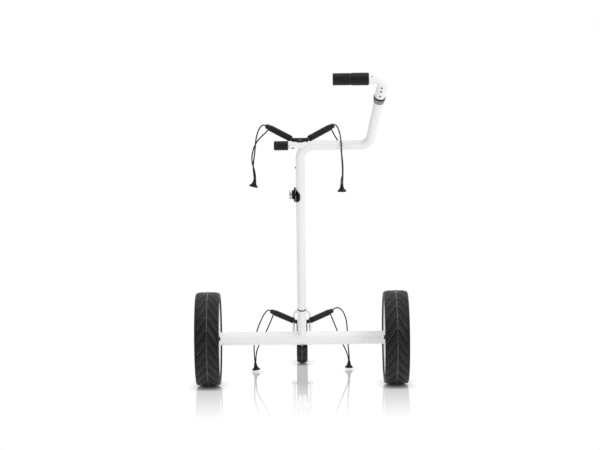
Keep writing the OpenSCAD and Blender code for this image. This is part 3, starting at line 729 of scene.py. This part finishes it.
def cap_line():
    """The cap's outside, from its mouth over four ribs to the middle of its end."""
    line = [(CAP_BORE, 0), (11.6, 0)]
    z = 0.6
    for rib in range(CAP_RIBS):
        line += [(13.2, z), (13.2, z + 7.0), (12.2, z + 7.6), (12.2, z + 9.0)]
        z += CAP_RIB_PITCH
    line += [(12.0, 38.9), (10.2, CAP_LENGTH), (0.01, CAP_LENGTH)]
    return rounded(line, 0.8, 3)


def hollow(line):
    """Closes the cap's outside with its blind bore, as one closed loop."""
    return line[:-1] + [(3.0, CAP_LENGTH), (0.02, CAP_LENGTH), (0.02, CAP_BORE_DEPTH),
                        (CAP_BORE, CAP_BORE_DEPTH)]


verts, faces = spin(hollow(cap_line())[::-1], 56, loop=True)
piece("cap_ribbed", verts, faces, MATS["cap_rubber"], "cap", CAP, ("stub_cap",), sharp=40)


# ---------------------------------------------------------------- floor, sky and lights
# In metres along Y, the mirror image grows from none to its most, and later fades out again
MIRROR_STARTS, MIRROR_FULL = -0.52, 0.05
MIRROR_FADES, MIRROR_GONE = 0.8, 1.6
MIRROR_MOST = 0.49
FLOOR_HALF = 30              # metres


def floor_material():
    """Pale glossy floor. Its mirror image fades out on the user's side and far behind the trolley."""
    mat = bpy.data.materials.new("studio_floor")
    mat.use_nodes = True
    nt = mat.node_tree
    nt.nodes.clear()
    out = nt.nodes.new("ShaderNodeOutputMaterial")
    mix = nt.nodes.new("ShaderNodeMixShader")
    glow = nt.nodes.new("ShaderNodeEmission")
    # Painted contact shadow: the floor's glow dims by ambient occlusion within 3 cm of the trolley.
    shade = nt.nodes.new("ShaderNodeAmbientOcclusion")
    shade.inputs["Distance"].default_value = 0.03
    shade.samples = 12
    nt.links.new(shade.outputs["AO"], glow.inputs["Strength"])
    mirror = nt.nodes.new("ShaderNodeBsdfGlossy")
    mirror.inputs["Roughness"].default_value = 0.03
    mirror.inputs["Color"].default_value = (1, 1, 1, 1)
    coord = nt.nodes.new("ShaderNodeTexCoord")
    split = nt.nodes.new("ShaderNodeSeparateXYZ")
    nt.links.new(coord.outputs["Object"], split.inputs["Vector"])
    both = nt.nodes.new("ShaderNodeMath")
    both.operation = "MULTIPLY"
    along = split.outputs["Y"]
    nt.links.new(map_range(nt, along, MIRROR_STARTS, MIRROR_FULL, 0.0, MIRROR_MOST), both.inputs[0])
    nt.links.new(map_range(nt, along, MIRROR_GONE, MIRROR_FADES, 0.0, 1.0), both.inputs[1])
    nt.links.new(both.outputs["Value"], mix.inputs["Fac"])
    nt.links.new(glow.outputs["Emission"], mix.inputs[1])
    nt.links.new(mirror.outputs["BSDF"], mix.inputs[2])
    nt.links.new(mix.outputs["Shader"], out.inputs["Surface"])
    return mat


floor_mesh = bpy.data.meshes.new("floor")
corners = [(x * FLOOR_HALF, y * FLOOR_HALF, 0) for x, y in ((-1, -1), (1, -1), (1, 1), (-1, 1))]
floor_mesh.from_pydata(corners, [], [(0, 1, 2, 3)])
floor_mesh.materials.append(floor_material())
floor = bpy.data.objects.new("floor", floor_mesh)
scene.collection.objects.link(floor)

world = bpy.data.worlds.new("studio")
world.use_nodes = True
scene.world = world
wt = world.node_tree
back = wt.nodes["Background"]
back.inputs["Color"].default_value = (1, 1, 1, 1)
path = wt.nodes.new("ShaderNodeLightPath")
sky_coord = wt.nodes.new("ShaderNodeTexCoord")
sky_split = wt.nodes.new("ShaderNodeSeparateXYZ")
wt.links.new(sky_coord.outputs["Generated"], sky_split.inputs["Vector"])


def sky_range(axis, lo, hi, a, b):
    return map_range(wt, sky_split.outputs[axis], lo, hi, a, b)


def sky_pick(kind, a, b):
    """The brightness b for rays of one kind, and a for all others."""
    mix = wt.nodes.new("ShaderNodeMix")
    mix.data_type = "FLOAT"
    wt.links.new(path.outputs[kind], mix.inputs["Factor"])
    if isinstance(a, float):
        mix.inputs["A"].default_value = a
    else:
        wt.links.new(a, mix.inputs["A"])
    wt.links.new(b, mix.inputs["B"])
    return mix.outputs["Result"]


def sky_join(operation, a, b):
    """Joins two brightnesses by a maths operation."""
    n = wt.nodes.new("ShaderNodeMath")
    n.operation = operation
    wt.links.new(a, n.inputs[0])
    wt.links.new(b, n.inputs[1])
    return n.outputs["Value"]


# Diffuse light is strongest a little to the right of the user. Reflections see a dim room behind the user
# and a bright ceiling. Seen directly, the sky is plain white.
overhead = sky_join("MAXIMUM", sky_range("Y", -0.75, 0.0, 0.10, 1.0), sky_range("Z", 0.25, 0.9, 0.10, 1.5))
sideways = sky_join("MINIMUM", sky_range("X", -1.0, 0.4, 0.2, 1.36), sky_range("X", 0.4, 1.0, 1.36, 0.45))
diffuse = sky_pick("Is Diffuse Ray", 1.0, sideways)
wt.links.new(sky_pick("Is Glossy Ray", diffuse, overhead), back.inputs["Strength"])


def area_light(name, place, target, size, energy):
    data = bpy.data.lights.new(name, "AREA")
    data.shape = "RECTANGLE"
    data.size, data.size_y = size
    data.energy = energy
    obj = bpy.data.objects.new(name, data)
    scene.collection.objects.link(obj)
    obj.location = place
    aim = Vector(target) - Vector(place)
    obj.rotation_euler = aim.to_track_quat("-Z", "Y").to_euler()
    return obj


area_light("key_right", (2.6, -2.2, 3.2), (0, 0, 0.4), (1.6, 1.6), 34)
# Two small lights brighten the fork, where the axle and the wheels shade it
for (side, word), watts in zip(SIDES, (1.3, 0.6)):
    fill = area_light("fill_" + word, (side * 0.5, 0.42, 0.2), (0, 0.38, 0.15), (0.25, 0.25), watts)
    fill.visible_camera = False
    fill.visible_glossy = False
